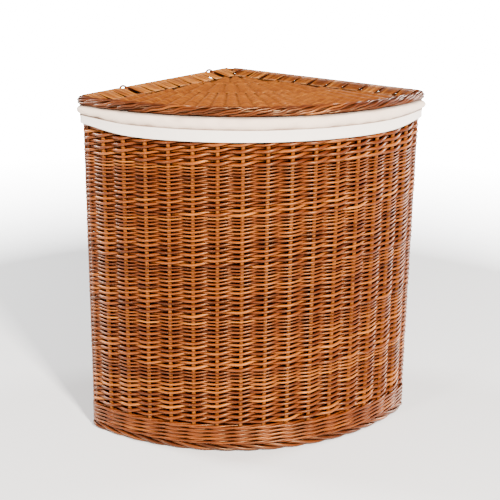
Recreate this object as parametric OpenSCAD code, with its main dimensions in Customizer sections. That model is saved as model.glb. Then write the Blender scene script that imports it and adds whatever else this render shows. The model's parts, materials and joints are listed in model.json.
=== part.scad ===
// Corner laundry basket: fan-shaped wicker basket, hinged wicker lid and a
// cotton liner folded over the rim. Millimetres, +Z up. The square back corner
// points to +Y, the curved front faces -Y, and the basket stands on Z = 0.

/* [Overall size] */
// length of each straight wall, outside the weave
side_length = 400; // [340:2:480]
// height of the closed basket, lid included
height = 572; // [460:2:700]
// centre of the curved front, this far in front of the back corner
bow_c = 50; // [10:2:70]

/* [Wicker] */
// thickness of the woven wall
wall_t = 14; // [12.5:0.5:18]
// diameter of the upright stakes
stake_d = 6; // [4:0.5:7.5]
// diameter of the posts in the three corners
post_d = 9; // [7:0.5:11]
// radius of the back corner
back_r = 16; // [14:1:20]
// radius of the two front corners
front_r = 20; // [18:1:30]
// angle between two stakes of the curved front
front_pitch = 6.1; // [5.4:0.1:6.3]
// stakes in each straight wall, between its posts
side_stakes = 9; // [6:1:11]

/* [Bands of the wall] */
// height of the rolled border at the foot
foot_h = 13; // [10:1:16]
// height of the thick waling above the foot
wale_h = 34; // [26:1:44]
// how much lower each band of weave is than the one below it
band_drop = 3.5; // [0:0.5:5]
// height of the rolled border under the liner
rim_h = 14; // [11:1:17]

/* [Base] */
// thickness of the woven base
base_t = 10; // [9:1:13]
// diameter of the base sticks
stick_d = 6; // [4:0.5:7]
// number of base sticks
stick_count = 7; // [4:1:8]

/* [Liner] */
// thickness of the cotton
cloth_t = 1.2; // [0.8:0.1:1.6]
// how far the liner hangs down outside
cuff_h = 37; // [30:1:46]
// height of the plain hem band at the cuff's lower edge
hem_h = 18; // [12:1:22]

/* [Lid] */
// diameter of the plaited border along the lid's curved edge
lid_border_d = 16; // [14:0.2:20]
// diameter of the lid's two straight edge rods
lid_rod_d = 12; // [9:0.2:13]
// thickness of the lid's woven panel
panel_t = 7; // [6:0.5:8]
// width of the open band of weave beside each straight edge
lid_band_w = 30; // [22:1:36]
// diameter of the lid's fan stakes
fan_d = 4.4; // [3:0.2:4.8]

/* [Hinge] */
// diameter of the willow of the two hinge loops
loop_d = 3.6; // [3:0.1:4.4]
// running clearance between a loop and the lid rod
loop_gap = 0.7; // [0.5:0.1:1]

/* [Hidden] */
fit = 0.1;          // stake in its weave
gap = 0.3;          // cloth against wicker
seat = 0.5;         // lid above the liner at rest
half = sqrt(0.5);
far = 3 * side_length;
mid_d = wall_t / 2; // depth of the stakes behind the wall's outer face
axis_in = 4;        // hinge axis in from the outside of the weave
tuck = 1;           // small distance that parts are set back from an edge
band_count = 6;     // bands of weave above the waling
first_share = 0.189; // share of the woven height that the lowest band takes
// the square corner of the wall's outline sits here on the Y axis, so that the
// lid, which is the widest part, is centred on the origin
lid_over = lid_border_d / 2 - axis_in - tuck;
bow_r = norm([side_length * half, side_length * half - bow_c]);
lid_front = bow_c + bow_r + lid_over;
lid_back = lid_rod_d / 2 / half - axis_in / half;
corner_y = (lid_front - lid_back) / 2;
axis_z = height - lid_border_d / 2;
cuff_top = height - lid_border_d - seat;
rim_top = cuff_top - cloth_t - gap;
rim_z = rim_top - rim_h;
cuff_z = cuff_top - cuff_h;
hem_z = cuff_z + hem_h;
hem_t = 1.4 * cloth_t; // the hem is turned up, so it is thicker
band_z = foot_h + wale_h;
band_h = floor(10 * first_share * (rim_z - band_z)) / 10;
base_z = foot_h + 1;
floor_z = base_z + base_t + gap;
frame_in = wall_t + gap;
frame_w = 8;        // width of the base frame
loop_sink = 0.7;    // how far the loops' lower bends sit below the rim, in radii
weave_in = frame_in + frame_w + fit;
panel_z = cuff_top + 1;
panel_top = panel_z + panel_t;
band_in = axis_in + lid_rod_d / 2 + fit;
panel_in = band_in + lid_band_w;
panel_r = bow_r + lid_over - lid_border_d - fit;
path_r = bow_r + lid_over - lid_border_d / 2;
loop_r = lid_rod_d / 2 + loop_gap + loop_d / 2;
bag_in = max(wall_t, axis_in + loop_r + loop_d / 2) + gap;
loop_low = rim_top - loop_sink * loop_r;
loop_at = [1.5, side_stakes - 1.5]; // in stake spaces from the back post
slot_r = loop_r + loop_d / 2 + 3.6; // clears a loop's legs as well
slot_w = loop_d + 1.6;

front_last = 7;     // front stakes each side of the middle one
first_stick = 0.22 * side_length;
stick_span = 0.74 * side_length;
stick_short = 3;    // stick ends inside the weave's edge
fan_step = 3.75;    // angle between neighbouring fan stakes
fan_last = 10;
fan_main = 8;
by_start = 0.36 * side_length;
late_start = 0.58 * side_length;
band_edge = 4;      // half the thickness of a lid band at the edge rod
beyond = 5;         // reach of the corner cutters outside the walls

willow = [0.72, 0.40, 0.17];
dark_willow = [0.55, 0.27, 0.11];
cotton = [0.93, 0.92, 0.89];

// ---- points of the plan, measured from the square back corner ----

// s along a straight side (side = -1 left, 1 right), d in from its face
function on_side(side, s, d) = [side * (s - d) * half, -(s + d) * half];
// point of the curved front, a degrees round from its middle
function polar(r, a) = [r * sin(a), -bow_c - r * cos(a)];
// where a line at depth d along a side meets the circle of radius r
function meet(d, r) =
    (bow_c / half + sqrt(2 * bow_c * bow_c - 4 * meet_k(d, r))) / 2;
function meet_k(d, r) = d * d - d * bow_c / half + bow_c * bow_c - r * r;
function angle_of(p) = atan2(p[0], -p[1] - bow_c);
function mirrored(side, p) = [side * p[0], p[1]];

corner_s = meet(front_r, bow_r - front_r);
end_c = on_side(1, corner_s, front_r);
corner_a = angle_of(end_c);
end_dir = (45 - corner_a) / 2;
end_post = [
    end_c[0] + (front_r - mid_d) * cos(end_dir),
    end_c[1] - (front_r - mid_d) * sin(end_dir)
];
back_s = (back_r * (1 / half - 1) + mid_d) * half;
end_post_s = (end_post[0] - end_post[1]) * half;
side_step = (end_post_s - back_s) / (side_stakes + 1);
function side_stake(side, i) = on_side(side, back_s + i * side_step, mid_d);

// end of the lid's curved border, on the line of the edge rods
lid_end = on_side(1, meet(axis_in, path_r), axis_in);
lid_end_a = angle_of(lid_end);

// The plan's outline moved in by d, its corners rounded where there is room.
module plan(d) {
    rb = back_r - d;
    re = front_r - d;
    difference() {
        fan(d / half, bow_r - d);
        if (rb > 0.5)
            difference() {
                polygon([
                    [0, -back_r / half], on_side(-1, back_r, -beyond),
                    [0, back_r], on_side(1, back_r, -beyond)
                ]);
                translate([0, -back_r / half])
                    circle(r = rb, $fn = 96);
            }
        if (re > 0.5)
            for (side = [-1, 1])
                difference() {
                    polygon([
                        mirrored(side, end_c),
                        on_side(side, corner_s, -beyond),
                        mirrored(side, [end_c[0] + 2 * front_r, end_c[1]]),
                        mirrored(side, polar(bow_r + beyond, corner_a))
                    ]);
                    translate(mirrored(side, end_c))
                        circle(r = re, $fn = 96);
                }
    }
}

// A square corner, tip in on the Y axis, closed by an arc of radius r.
module fan(tip, r) {
    intersection() {
        translate([0, -bow_c])
            circle(r = r, $fn = 360);
        polygon([[0, -tip], [far, -tip - far], [-far, -tip - far]]);
    }
}

// A wall between two depths, from z0 to z1.
module wall(d_out, d_in, z0, z1) {
    translate([0, corner_y, z0])
        linear_extrude(z1 - z0)
            difference() {
                plan(d_out);
                plan(d_in);
            }
}

// A round upright at a point of the plan.
module upright(p, d, z0, z1) {
    translate([p[0], p[1] + corner_y, z0])
        cylinder(d = d, h = z1 - z0, $fn = 48);
}

module all_uprights(extra, z0, z1) {
    for (i = [-front_last : front_last])
        upright(polar(bow_r - mid_d, i * front_pitch),
            stake_d + extra, z0, z1);
    for (side = [-1, 1]) {
        for (i = [1 : side_stakes])
            upright(side_stake(side, i), stake_d + extra, z0, z1);
        upright(mirrored(side, end_post), post_d + extra, z0, z1);
    }
    upright([0, -back_s / half], post_d + extra, z0, z1);
}

// A ring of weave with a hole for each upright.
module woven_ring(d_out, z0, z1) {
    difference() {
        wall(d_out, wall_t, z0, z1);
        all_uprights(2 * fit, z0 - 1, z1 + 1);
    }
}

// The lower edge of a band. The top band takes what is left under the rim.
function band_low(i) =
    band_z + (i - 1) * band_h - band_drop * (i - 1) * (i - 2) / 2;

module weave_band(i) {
    color(i % 2 == 0 ? willow : dark_willow)
        difference() {
            woven_ring(0, band_low(i),
                i == band_count ? rim_z : band_low(i + 1));
            if (i == band_count)
                hinge_holes();
        }
}

// ---- basket ----

module foot_border() {
    color(dark_willow)
        wall(-1.5, wall_t, 0, foot_h);
}

module upsett_wale() {
    color(willow)
        woven_ring(-0.8, foot_h, band_z);
}

module rim_border() {
    color(dark_willow)
        difference() {
            wall(0, wall_t, rim_z, rim_top);
            hinge_holes();
        }
}

module front_stakes() {
    color(willow)
        for (i = [-front_last : front_last])
            upright(polar(bow_r - mid_d, i * front_pitch),
                stake_d, foot_h, rim_z);
}

module wall_stakes(side) {
    color(willow)
        for (i = [1 : side_stakes])
            upright(side_stake(side, i), stake_d, foot_h, rim_z);
}

module left_stakes() {
    wall_stakes(-1);
}

module right_stakes() {
    wall_stakes(1);
}

module back_post() {
    color(dark_willow)
        upright([0, -back_s / half], post_d, foot_h, rim_z);
}

module left_post() {
    color(dark_willow)
        upright(mirrored(-1, end_post), post_d, foot_h, rim_z);
}

module right_post() {
    color(dark_willow)
        upright(end_post, post_d, foot_h, rim_z);
}

// ---- base ----

module base_slab(d, z0, t) {
    translate([0, corner_y, z0])
        linear_extrude(t)
            plan(d);
}

function stick_y(i) =
    -first_stick - (i - 0.5) * (stick_span / stick_count);
// Half the room between the edges of the base weave along a stick.
function stick_half(y, r) = min(
    -y - r - weave_in / half,
    sqrt(pow(bow_r - weave_in, 2) - pow(y - r + bow_c, 2))
);

module sticks(extra) {
    for (i = [1 : stick_count]) {
        y = stick_y(i);
        w = stick_half(y, stick_d / 2 + fit) - stick_short + extra;
        translate([-w, y + corner_y, base_z + base_t / 2])
            rotate([0, 90, 0])
                cylinder(d = stick_d + 2 * extra, h = 2 * w, $fn = 48);
    }
}

module base_frame() {
    color(dark_willow)
        difference() {
            base_slab(frame_in, base_z, base_t);
            base_slab(frame_in + frame_w, base_z - 1, base_t + 2);
        }
}

module base_sticks() {
    color(dark_willow)
        sticks(0);
}

module base_weave() {
    color(willow)
        difference() {
            base_slab(weave_in, base_z, base_t);
            sticks(fit);
        }
}

// ---- liner ----

module liner_bag() {
    color(cotton)
        difference() {
            base_slab(bag_in, floor_z, rim_top + gap - floor_z);
            base_slab(bag_in + cloth_t, floor_z + cloth_t, far);
        }
}

module liner_cuff() {
    color(cotton)
        difference() {
            union() {
                wall(-gap - cloth_t, -gap, hem_z, rim_top + gap);
                wall(-gap - cloth_t, bag_in + cloth_t, rim_top + gap, cuff_top);
            }
            hinge_holes();
        }
}

module liner_hem() {
    color(cotton)
        wall(-gap - hem_t, -gap, cuff_z, hem_z);
}

// ---- hinge: two willow loops round the lid's left rod ----

// Frame of the hinge: X runs along the rod from the corner, Y into the basket.
module at_hinge(s) {
    p = on_side(-1, s, axis_in);
    translate([p[0], p[1] + corner_y, axis_z])
        rotate([0, 0, -135])
            children();
}

function loop_s(k) = back_s + loop_at[k] * side_step;

module loop_shape(d) {
    drop = axis_z - loop_low;
    rotate([90, 0, 90])
        rotate_extrude(angle = 180, $fn = 96)
            translate([loop_r, 0])
                circle(d = d, $fn = 32);
    translate([0, 0, -drop])
        rotate([-90, 0, 90])
            rotate_extrude(angle = 180, $fn = 96)
                translate([loop_r, 0])
                    circle(d = d, $fn = 32);
    for (side = [-1, 1])
        translate([0, side * loop_r, -drop])
            cylinder(d = d, h = drop, $fn = 32);
}

module hinge_loop_back() {
    color(dark_willow)
        at_hinge(loop_s(0))
            loop_shape(loop_d);
}

module hinge_loop_front() {
    color(dark_willow)
        at_hinge(loop_s(1))
            loop_shape(loop_d);
}

// Clearance for the two loops in the wicker and the cloth.
module hinge_holes() {
    for (k = [0, 1])
        at_hinge(loop_s(k))
            loop_shape(loop_d + 2 * fit);
}

// Slots that let the lid swing round the loops.
module hinge_slots() {
    for (k = [0, 1])
        at_hinge(loop_s(k))
            rotate([0, 90, 0])
                cylinder(r = slot_r, h = slot_w, center = true, $fn = 96);
}

// ---- lid ----

module half_space(side) {
    translate([side * far / 2, 0, height / 2])
        cube([far, 2 * far, 2 * height], center = true);
}

module edge_rod(side) {
    difference() {
        intersection() {
            translate([0, corner_y - axis_in / half, axis_z])
                rotate([0, 0, side > 0 ? -45 : -135])
                    rotate([0, 90, 0])
                        translate([0, 0, -lid_rod_d])
                            cylinder(d = lid_rod_d, $fn = 64,
                                h = meet(axis_in, path_r) + lid_rod_d - axis_in);
            half_space(side);
        }
        // the border's end lies in a round seat in the end of the rod
        translate([side * lid_end[0], lid_end[1] + corner_y, axis_z])
            rotate([0, 0, side * lid_end_a])
                rotate([0, 90, 0])
                    cylinder(d = lid_border_d + 2 * fit, $fn = 64,
                        h = 2 * lid_border_d, center = true);
    }
}

module lid_left_rod() {
    color(dark_willow)
        edge_rod(-1);
}

module lid_right_rod() {
    color(dark_willow)
        edge_rod(1);
}

// Half a ball, flat towards -Y.
module half_ball(d) {
    rotate_extrude(angle = 180, $fn = 96)
        intersection() {
            circle(d = d, $fn = 64);
            translate([0, -d])
                square([d, 2 * d]);
        }
}

module lid_front_border() {
    color(dark_willow)
        translate([0, corner_y - bow_c, axis_z]) {
            rotate([0, 0, -90 - lid_end_a])
                rotate_extrude(angle = 2 * lid_end_a, $fn = 360)
                    translate([path_r, 0])
                        circle(d = lid_border_d, $fn = 64);
            rotate([0, 0, -90 + lid_end_a])
                translate([path_r, 0, 0])
                    half_ball(lid_border_d);
            rotate([0, 0, -90 - lid_end_a])
                translate([path_r, 0, 0])
                    rotate([0, 0, 180])
                        half_ball(lid_border_d);
        }
}

// Fan stakes are numbered from the middle. Every fourth starts at the lid's
// back corner, and the others where the fan has opened enough to take them.
function fan_a(i) = i * fan_step;
function fan_start(i) = max(
    (panel_in + fan_d / 2 + tuck) / sin(45 - abs(fan_a(i))),
    i % 4 == 0 ? 0 : (i % 2 == 0 ? by_start : late_start)
);
function fan_end(i) = bow_c * cos(fan_a(i)) - tuck
    + sqrt(pow(panel_r, 2) - pow(bow_c * sin(fan_a(i)), 2));

module fan_stake(i, d) {
    translate([0, corner_y, panel_z + panel_t / 2])
        rotate([0, 0, -90 + fan_a(i)])
            translate([fan_start(i), 0, 0])
                rotate([0, 90, 0])
                    cylinder(d = d, h = fan_end(i) - fan_start(i), $fn = 32);
}

module lid_stakes() {
    color(willow)
        for (i = [-fan_main : 4 : fan_main])
            fan_stake(i, fan_d);
}

module lid_by_stakes() {
    color(willow)
        for (i = [-fan_last : fan_last])
            if (i % 4 != 0)
                fan_stake(i, fan_d);
}

module lid_panel() {
    color(willow)
        difference() {
            translate([0, corner_y, panel_z])
                linear_extrude(panel_t)
                    fan(panel_in / half, panel_r);
            for (i = [-fan_last : fan_last])
                fan_stake(i, fan_d + 2 * fit);
        }
}

// Open strands between an edge rod and the panel, sloping down inwards.
module edge_band(side) {
    difference() {
        intersection() {
            translate([0, corner_y, 0])
                rotate([0, 0, side > 0 ? -45 : -135])
                    rotate([90, 0, 90])
                        linear_extrude(far)
                            polygon([
                                [-side * band_in, axis_z - band_edge],
                                [-side * band_in, axis_z + band_edge],
                                [-side * (panel_in - fit), panel_top],
                                [-side * (panel_in - fit), panel_z]
                            ]);
            half_space(side);
            translate([0, corner_y - bow_c, 0])
                cylinder(r = panel_r, h = height, $fn = 360);
        }
        if (side < 0)
            hinge_slots();
    }
}

module lid_left_band() {
    color(willow)
        edge_band(-1);
}

module lid_right_band() {
    color(willow)
        edge_band(1);
}

foot_border();
upsett_wale();
weave_band(1);  // weave_band_1
weave_band(2);  // weave_band_2
weave_band(3);  // weave_band_3
weave_band(4);  // weave_band_4
weave_band(5);  // weave_band_5
weave_band(6);  // weave_band_6
rim_border();
front_stakes();
left_stakes();
right_stakes();
back_post();
left_post();
right_post();
base_frame();
base_sticks();
base_weave();
liner_bag();
liner_cuff();
liner_hem();
hinge_loop_back();
hinge_loop_front();
lid_left_rod();
lid_right_rod();
lid_front_border();
lid_stakes();
lid_by_stakes();
lid_panel();
lid_left_band();
lid_right_band();
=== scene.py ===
# %% [markdown]
# # A corner laundry basket in woven willow
# A fan-shaped basket fits into the corner of a room. Its wall is woven from
# willow rods round upright stakes, its lid is a woven fan that turns on two
# willow loops, and a white cotton liner hangs inside and folds over the rim.
# The CAD frame holds plain solids in the right places. This lesson gives each
# of them the rods, weave and cloth of the real thing.

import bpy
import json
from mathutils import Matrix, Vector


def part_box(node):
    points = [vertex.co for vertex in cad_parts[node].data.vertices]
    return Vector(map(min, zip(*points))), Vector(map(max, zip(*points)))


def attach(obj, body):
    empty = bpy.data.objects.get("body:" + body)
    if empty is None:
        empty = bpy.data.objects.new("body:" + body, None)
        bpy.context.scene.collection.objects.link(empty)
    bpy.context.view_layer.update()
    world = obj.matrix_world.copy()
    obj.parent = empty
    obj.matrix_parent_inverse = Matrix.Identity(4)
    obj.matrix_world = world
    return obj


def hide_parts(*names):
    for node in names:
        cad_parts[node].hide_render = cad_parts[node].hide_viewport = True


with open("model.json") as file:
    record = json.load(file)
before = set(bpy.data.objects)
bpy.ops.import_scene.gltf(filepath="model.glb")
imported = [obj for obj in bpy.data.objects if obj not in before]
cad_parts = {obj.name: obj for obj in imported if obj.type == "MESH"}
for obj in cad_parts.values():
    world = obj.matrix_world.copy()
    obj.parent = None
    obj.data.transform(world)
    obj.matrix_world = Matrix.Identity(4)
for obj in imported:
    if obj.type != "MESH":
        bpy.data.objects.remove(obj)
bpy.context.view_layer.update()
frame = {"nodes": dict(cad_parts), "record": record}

# %% Modules
import json
import math

import bpy
import numpy as np
from mathutils import Matrix, Vector

MM = 0.001
HALF = math.sqrt(0.5)
rng = np.random.default_rng(7)

# %% [markdown]
# ## Camera
# The camera comes first, because everything is judged through it. It looks
# slightly from the left and from above, with a long lens, and it is turned a
# little about its own axis, as a hand-held camera is.

# %% Place the camera
CAMERA_TARGET = Vector((0.0085, 0.0083, 0.2785))
CAMERA_DISTANCE = 1.865
CAMERA_AZIMUTH = 0.1639
CAMERA_ELEVATION = 0.3158
CAMERA_ROLL = 0.0125
CAMERA_LENS = 76.4

look = Vector((
    math.sin(CAMERA_AZIMUTH) * math.cos(CAMERA_ELEVATION),
    math.cos(CAMERA_AZIMUTH) * math.cos(CAMERA_ELEVATION),
    -math.sin(CAMERA_ELEVATION)))
level = Vector((math.cos(CAMERA_AZIMUTH), -math.sin(CAMERA_AZIMUTH), 0))
upward = level.cross(look)
right = level * math.cos(CAMERA_ROLL) + upward * math.sin(CAMERA_ROLL)
above = upward * math.cos(CAMERA_ROLL) - level * math.sin(CAMERA_ROLL)
turn = Matrix((right, above, -look)).transposed()
bpy.ops.object.camera_add(
    location=CAMERA_TARGET - look * CAMERA_DISTANCE, rotation=turn.to_euler())
camera = bpy.context.object
camera.name = "view_camera"
camera.data.lens = CAMERA_LENS
camera.data.clip_end = 20
bpy.context.scene.camera = camera
print("camera at", [round(x, 3) for x in camera.location])

# %% [markdown]
# ## Floor and light
# A studio has one strong soft light near the camera, and others round the
# piece that open the shadows. The floor is pale and plain, so that the basket
# stands out.

# %% Floor
FLOOR_SIZE = 14

bpy.ops.object.select_all(action="DESELECT")
bpy.ops.mesh.primitive_plane_add(size=FLOOR_SIZE, location=(0, 0, 0))
floor = bpy.context.object
floor.name = "studio_floor"
print("floor", FLOOR_SIZE, "m wide")

# %% Lights
MIDDLE = (0, 0, 0.3)
AMBIENT = 0.17
BACKDROP = 25.0


def soft_light(name, place, size, power, tint=(1, 1, 1)):
    """A square area light at place, facing the middle of the basket."""
    turned = (Vector(MIDDLE) - Vector(place)).to_track_quat("-Z", "Y")
    bpy.ops.object.light_add(
        type="AREA", location=place, rotation=turned.to_euler())
    light = bpy.context.object
    light.name = name
    light.data.size = size
    light.data.energy = power
    light.data.color = tint


soft_light("key_light", (0.6, -2.5, 1.8), size=0.3, power=310, tint=(1, 0.94, 0.87))
soft_light("fill_light", (-2.0, -1.6, 1.4), size=0.5, power=50, tint=(1, 0.95, 0.90))
soft_light("back_light", (-2.1, 1.1, 1.5), size=0.6, power=115)
soft_light("rear_light", (2.7, 0.8, 1.1), size=0.8, power=150)
world = bpy.data.worlds.new("studio_world")
world.use_nodes = True
sky = world.node_tree.nodes["Background"]
sky.inputs["Color"].default_value = (1, 1, 1, 1)
# the backdrop itself is brighter than the light that it gives the basket
seen = world.node_tree.nodes.new("ShaderNodeLightPath")
level_up = world.node_tree.nodes.new("ShaderNodeMapRange")
level_up.inputs["To Min"].default_value = AMBIENT
level_up.inputs["To Max"].default_value = BACKDROP
world.node_tree.links.new(seen.outputs["Is Camera Ray"], level_up.inputs["Value"])
world.node_tree.links.new(level_up.outputs["Result"], sky.inputs["Strength"])
bpy.context.scene.world = world

# %% [markdown]
# ## Finishes
# Shader nodes are wired by hand in the editor. Here a small class wraps one
# output socket, so that shader maths reads like ordinary maths, and one method
# makes every node.

# %% Shader maths
class Val:
    """One output socket of a finish, with the usual arithmetic."""

    def __init__(self, finish, socket):
        self.finish = finish
        self.socket = socket

    def math(self, operation, first, second, clamp=False):
        return self.finish.node("ShaderNodeMath",
            {"operation": operation, "use_clamp": clamp}, {0: first, 1: second})

    def __add__(self, other):
        return self.math("ADD", self, other)

    def __sub__(self, other):
        return self.math("SUBTRACT", self, other)

    def __rsub__(self, other):
        return self.math("SUBTRACT", other, self)

    def __mul__(self, other):
        return self.math("MULTIPLY", self, other)

    __radd__ = __add__
    __rmul__ = __mul__

    def clamped(self):
        return self.math("ADD", self, 0.0, clamp=True)


class Finish:
    """A material and the one method that makes its nodes."""

    def __init__(self, name):
        self.material = bpy.data.materials.new(name)
        self.material.use_nodes = True
        self.tree = self.material.node_tree
        self.shader = self.tree.nodes["Principled BSDF"]

    def feed(self, socket, value):
        if isinstance(value, Val):
            self.tree.links.new(value.socket, socket)
        else:
            socket.default_value = value

    def node(self, kind, settings=None, sockets=None, out=0):
        made = self.tree.nodes.new(kind)
        for key, value in (settings or {}).items():
            if key == "stops":
                ramp = made.color_ramp
                while len(ramp.elements) < len(value):
                    ramp.elements.new(0.5)
                for stop, (place, colour) in zip(ramp.elements, value):
                    stop.position = place
                    stop.color = (*colour, 1)
            else:
                setattr(made, key, value)
        for key, value in (sockets or {}).items():
            self.feed(made.inputs[key], value)
        return Val(self, made.outputs[out])

    def set(self, **values):
        """Puts values or links on the shader, by socket name."""
        for key, value in values.items():
            self.feed(self.shader.inputs[key.replace("_", " ")], value)

    def coords(self, kind):
        return self.node("ShaderNodeTexCoord", out={"object": 3, "uv": 2}[kind])

    def stretched(self, vector, scale):
        return self.node("ShaderNodeVectorMath", {"operation": "MULTIPLY"},
            {0: vector, 1: scale})

    def noise(self, vector, scale, detail=2.0, rough=0.5):
        return self.node("ShaderNodeTexNoise", None, {
            "Vector": vector, "Scale": scale, "Detail": detail,
            "Roughness": rough})

    def mix(self, factor, first, second):
        return self.node("ShaderNodeMix", {"data_type": "RGBA"},
            {0: factor, 6: first, 7: second}, out=2)

    def recess(self, reach):
        """1 on open surfaces, falling to 0 where others close in on them."""
        return self.node("ShaderNodeAmbientOcclusion", {"samples": 6},
            {"Distance": reach}, out=1)

    def bump(self, height, strength, distance):
        self.set(Normal=self.node("ShaderNodeBump", None, {
            "Height": height, "Strength": strength, "Distance": distance}))


# %% [markdown]
# ### Varnished willow
# A willow rod keeps its bark's growth as fine lines along its length, and each
# rod has its own tone, from straw yellow to red brown. The rods below carry
# two things for this: a tone from 0 to 1 for each rod, and a UV map whose
# first number is the distance along the rod in metres and whose second goes
# once round it. Grain is noise that is stretched along the rod.

# %% Willow for the rods
SHINE = (1.0, 0.58, 0.28, 1)    # stained varnish shines amber
# painted shade: the dark colour that recesses are mixed towards
PAINTED_SHADE = (0.010, 0.002, 0.0005, 1)
KNOT = (0.045, 0.012, 0.004, 1)


def willow(name, stops, rough=0.36, reach=5 * MM):
    """A finish for rods with a tone attribute and a UV map along them. reach is
    how near another rod must be to paint shade on this one."""
    f = Finish(name)
    uv = f.coords("uv")
    tone = f.node("ShaderNodeAttribute", {"attribute_name": "tone"}, out=2)
    # each rod takes its grain from another part of the noise
    shift = f.node("ShaderNodeCombineXYZ", None, {0: tone * 31, 2: tone * 17})
    place = f.node("ShaderNodeVectorMath", {"operation": "ADD"}, {0: uv, 1: shift})
    grain = f.noise(f.stretched(place, (90, 9, 1)), 1.0, 4, 0.6)
    blotch = f.noise(f.stretched(place, (22, 1, 1)), 1.0, 2)
    shade = (tone * 0.75 + blotch * 0.62 + grain * 0.42 - 0.40).clamped()
    colour = f.node("ShaderNodeValToRGB", {"stops": stops}, {0: shade})
    knots = f.noise(f.stretched(place, (60, 2, 1)), 1.0, 1)
    spots = ((knots - 0.70) * 9).clamped() * 0.6
    colour = f.mix(spots, colour, KNOT)
    # painted shade: the recesses where rods cross and close in are darkened, as shade falls
    # there
    out_of_shade = (f.recess(reach) * 2.0 - 0.72).clamped()
    colour = f.mix(out_of_shade, PAINTED_SHADE, colour)
    f.set(Base_Color=colour, Roughness=grain * 0.16 + (rough - 0.08))
    # the varnish coat follows the same mask, so it shines on the crowns and fades in the
    # shaded crossings
    f.set(Coat_Weight=out_of_shade * out_of_shade * 0.06, Coat_Roughness=0.2)
    f.set(Specular_IOR_Level=0.6, Specular_Tint=SHINE)
    f.bump(grain, 0.25, 0.0006)
    return f.material


RED_BROWN = (0.036, 0.004, 0.001)
MID_BROWN = (0.088, 0.014, 0.002)
ORANGE = (0.180, 0.037, 0.004)
STRAW = (0.46, 0.135, 0.016)
willow_rods = willow("varnished_willow", [
    (0.0, RED_BROWN), (0.3, MID_BROWN), (0.6, ORANGE), (1.0, STRAW)])
# the borders are darker, and the lid's fine rods paler, than the wall
border_rods = willow("border_willow", [
    (0.0, (0.024, 0.003, 0.001)), (0.4, (0.062, 0.010, 0.002)),
    (0.75, (0.125, 0.026, 0.004)), (1.0, (0.30, 0.085, 0.012))])
strand_rods = willow("strand_willow", [
    (0.0, (0.05, 0.008, 0.001)), (0.3, (0.13, 0.027, 0.003)),
    (0.65, (0.26, 0.072, 0.008)), (1.0, (0.54, 0.210, 0.034))], 0.40, 16 * MM)
# painted shade: the rope's core shows only in the gaps between the pairs, so its willow is
# made very dark for the shade there
shaded_core_rods = willow("shaded_core_willow", [
    (0.0, (0.03, 0.005, 0.001)), (1.0, (0.06, 0.012, 0.002))])
lid_rods = willow("lid_willow", [
    (0.0, (0.07, 0.012, 0.001)), (0.35, (0.15, 0.033, 0.003)),
    (0.7, (0.25, 0.070, 0.006)), (1.0, (0.46, 0.165, 0.022))], 0.40, 6 * MM)
print("rod finishes:", len(bpy.data.materials))


# %% Willow for the frame's own solids
def turned_willow(name, stretch, dark, light):
    """A finish for solid rods, with grain stretched in object space."""
    f = Finish(name)
    place = f.stretched(f.coords("object"), stretch)
    grain = f.noise(place, 1.0, 4, 0.6)
    blotch = f.noise(f.coords("object"), 30.0, 2)
    shade = (grain * 0.9 + blotch * 0.6 - 0.3).clamped()
    # painted shade: recesses are darkened, as shade falls there
    out_of_shade = (f.recess(4 * MM) * 1.6 - 0.35).clamped()
    colour = f.mix(shade, (*dark, 1), (*light, 1))
    f.set(Base_Color=f.mix(out_of_shade, PAINTED_SHADE, colour))
    f.set(Roughness=grain * 0.2 + 0.32)
    f.set(Specular_IOR_Level=0.35, Specular_Tint=SHINE)
    f.bump(grain, 0.25, 0.0006)
    return f.material


stake_willow = turned_willow("stake_willow", (700, 700, 45), MID_BROWN, STRAW)
post_willow = turned_willow("post_willow", (500, 500, 30), RED_BROWN, ORANGE)
flat_willow = turned_willow("flat_willow", (60, 500, 500), RED_BROWN, ORANGE)


# %% [markdown]
# ### Cotton
# The liner is plain-woven cotton. Its threads are less than half a millimetre
# apart, so they show only as a fine tooth on the surface. The cloth is matt,
# with a soft sheen where it turns away, and it has faint creases.

# %% Cotton
THREADS = 330.0


def cotton(name, tint, shaded=(0.24, 0.14, 0.085), sheen=0.25):
    """A finish for the liner. shaded is the painted shade colour deep in a fold."""
    f = Finish(name)
    uv = f.coords("uv")
    warp, weft = [f.node("ShaderNodeTexWave",
        {"wave_type": "BANDS", "bands_direction": axis},
        {"Vector": uv, "Scale": THREADS, "Distortion": 1.2, "Detail": 1.0}) for axis in "XY"]
    slub = f.noise(f.stretched(uv, (40, 700, 1)), 1.0, 2)
    soft = f.noise(uv, 28.0, 3)
    threads = warp * 0.5 + weft * 0.5
    shade = (slub * 0.5 + soft * 0.5).clamped()
    darker = tuple(0.93 * c for c in tint)
    cloth = f.mix(shade, (*darker, 1), (*tint, 1))
    # painted shade: where other surfaces close in, as in folds and creases, the cloth is
    # darkened towards shaded
    open_air = (f.recess(14 * MM) * 2.2 - 1.0).clamped()
    f.set(Base_Color=f.mix(open_air, (*shaded, 1), cloth))
    f.set(Roughness=0.88, Sheen_Weight=sheen, Sheen_Roughness=0.5)
    f.set(Specular_IOR_Level=sheen)
    f.bump(threads * 0.5 + slub * 0.3 + soft * 1.2, 0.35, 0.0008)
    return f.material


white_cotton = cotton("white_cotton", (0.90, 0.70, 0.55))
hem_cotton = cotton("hem_cotton", (1.0, 0.90, 0.81))
# painted shade: the side of the bag that lies against the willow is seen only through the
# gaps of the weave, so it is given a near-black colour for the shade there
shade_side_cotton = cotton(
    "shade_side_cotton", (0.030, 0.010, 0.004), shaded=(0.008, 0.002, 0.001), sheen=0.0)

# %% Floor finish
PAPER_END = 2.6

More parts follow.
